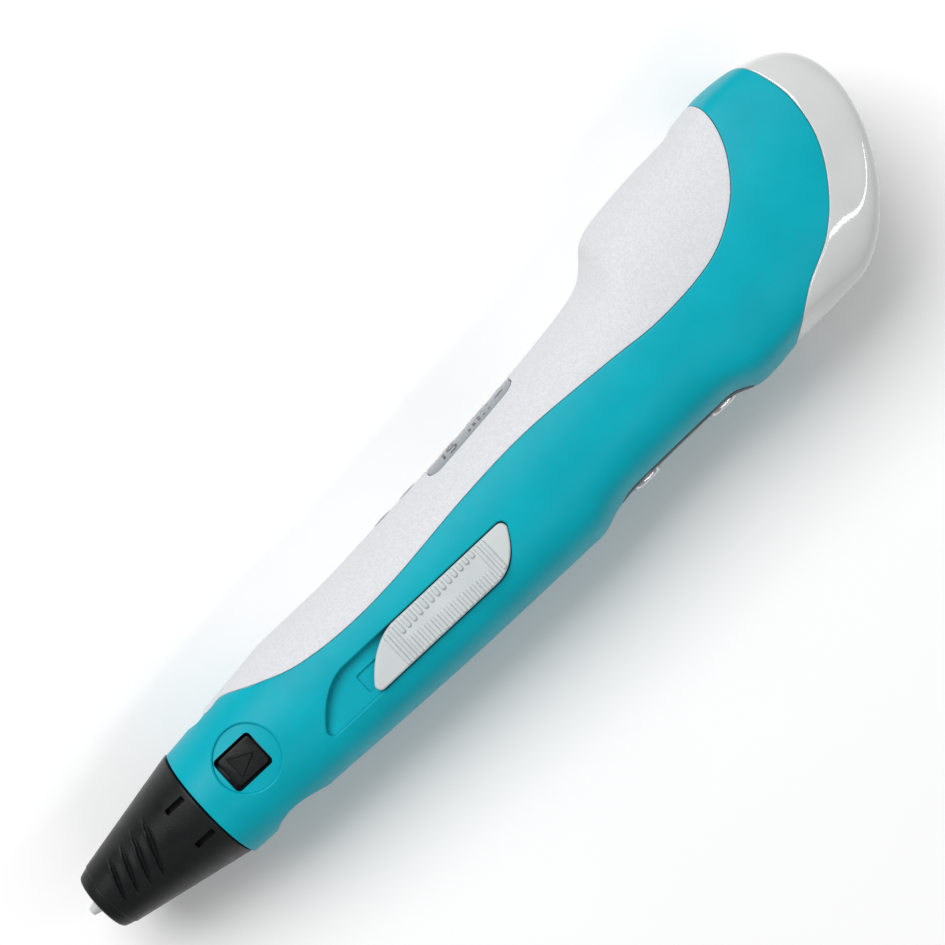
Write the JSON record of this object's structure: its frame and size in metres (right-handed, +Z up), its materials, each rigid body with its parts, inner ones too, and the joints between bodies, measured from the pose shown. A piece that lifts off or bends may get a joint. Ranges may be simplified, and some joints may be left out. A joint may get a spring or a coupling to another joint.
{
  "type": "three d pen",
  "caption": "Handheld 3D-printing pen lying on its side: ceramic nozzle in a pull-off nose, speed slider, feed and temperature keys, display, filament drive and tail cap.",
  "frame": {"origin": "centre of the lowest plane of the box around the pen as it lies on its far side", "axes": "+X from the nozzle to the tail, +Y towards the display side, +Z up towards the speed slider side"},
  "size_m": [0.1812, 0.0422, 0.031],
  "materials": {
    "teal_plastic": "satin moulded ABS",
    "pearl_plastic": "pearl-effect satin",
    "gloss_plastic": "high gloss",
    "slider_plastic": "fine matte",
    "black_plastic": "fine spark-eroded texture",
    "grey_plastic": "matte",
    "key_chrome": "metallised gloss",
    "ceramic": "unglazed ceramic",
    "ptfe": "waxy",
    "steel": "brushed",
    "brass": "machined",
    "aluminium": "satin sleeve",
    "board_green": "solder mask",
    "display_window": "clear grey window"
  },
  "bodies": {
    "housing": {"lower_housing": "teal_plastic", "top_cover": "pearl_plastic", "tail_cap": "gloss_plastic", "power_socket": "black_plastic", "filament_inlet": "black_plastic", "button_panel": "black_plastic", "hot_end_connector": "black_plastic", "load_switch": "black_plastic", "unload_switch": "black_plastic", "temperature_up_switch": "black_plastic", "temperature_down_switch": "black_plastic", "microcontroller": "black_plastic", "motor_driver": "black_plastic", "feed_frame": "grey_plastic", "ceramic_nozzle": "ceramic", "thermistor": "ceramic", "guide_tube": "ptfe", "hot_end_holder": "ptfe", "throat_tube": "steel", "motor_can": "steel", "idler_spring": "steel", "slide_pot_body": "steel", "lcd_module": "steel", "board_screw_front": "steel", "board_screw_rear": "steel", "feed_screw_front": "steel", "feed_screw_rear": "steel", "power_socket_pin": "steel", "heater_sleeve": "brass", "motor_gearbox": "brass", "power_capacitor": "aluminium", "main_board": "board_green", "button_board": "board_green", "hot_end_board": "board_green", "lcd_lens": "display_window"},
    "nose": {"nose_cone": "black_plastic"},
    "slider": {"speed_slider": "slider_plastic", "slide_pot_lever": "black_plastic"},
    "load_key": {"load_button": "key_chrome"},
    "unload_key": {"unload_button": "key_chrome"},
    "temperature_up_key": {"temperature_up_button": "grey_plastic"},
    "temperature_down_key": {"temperature_down_button": "grey_plastic"},
    "drive": {"motor_shaft": "steel", "drive_gear": "brass"},
    "tension_arm": {"idler_arm": "black_plastic", "idler_axle": "steel"},
    "idler": {"idler_bearing": "steel"}
  },
  "joints": [
    {"name": "nose_pull_off", "type": "slide", "parent": "housing", "child": "nose", "axis": [-1, 0, 0], "range_m": [0, 0.045]},
    {"name": "speed_slide", "type": "slide", "parent": "housing", "child": "slider", "axis": [0.9989, 0, 0.046], "range_m": [-0.0105, 0]},
    {"name": "load_press", "type": "slide", "parent": "housing", "child": "load_key", "axis": [0, 1, 0], "range_m": [0, 0.0005], "stiffness_N_per_m": 300, "springref_m": -0.001},
    {"name": "unload_press", "type": "slide", "parent": "housing", "child": "unload_key", "axis": [0, 1, 0], "range_m": [0, 0.0005], "stiffness_N_per_m": 300, "springref_m": -0.001},
    {"name": "temperature_up_press", "type": "slide", "parent": "housing", "child": "temperature_up_key", "axis": [0, -1, 0], "range_m": [0, 0.0005], "stiffness_N_per_m": 300, "springref_m": -0.001},
    {"name": "temperature_down_press", "type": "slide", "parent": "housing", "child": "temperature_down_key", "axis": [0, -1, 0], "range_m": [0, 0.0005], "stiffness_N_per_m": 300, "springref_m": -0.001},
    {"name": "drive_spin", "type": "hinge", "parent": "housing", "child": "drive", "pos_m": [0.05842, -0.00862, 0.02138], "axis": [0, 1, 0], "continuous": true},
    {"name": "arm_swing", "type": "hinge", "parent": "housing", "child": "tension_arm", "pos_m": [0.04893, -0.01262, 0.0085], "axis": [0, 1, 0], "range_deg": [0, 3], "stiffness_Nm_per_rad": 0.02, "springref_deg": -5.73, "deforming": ["idler_spring"]},
    {"name": "idler_spin", "type": "hinge", "parent": "tension_arm", "child": "idler", "pos_m": [0.05842, -0.00862, 0.01063], "axis": [0, 1, 0], "continuous": true}
  ],
  "couplings": [
    {"joint": "idler_spin", "follows": "drive_spin", "ratio": -1.25}
  ]
}
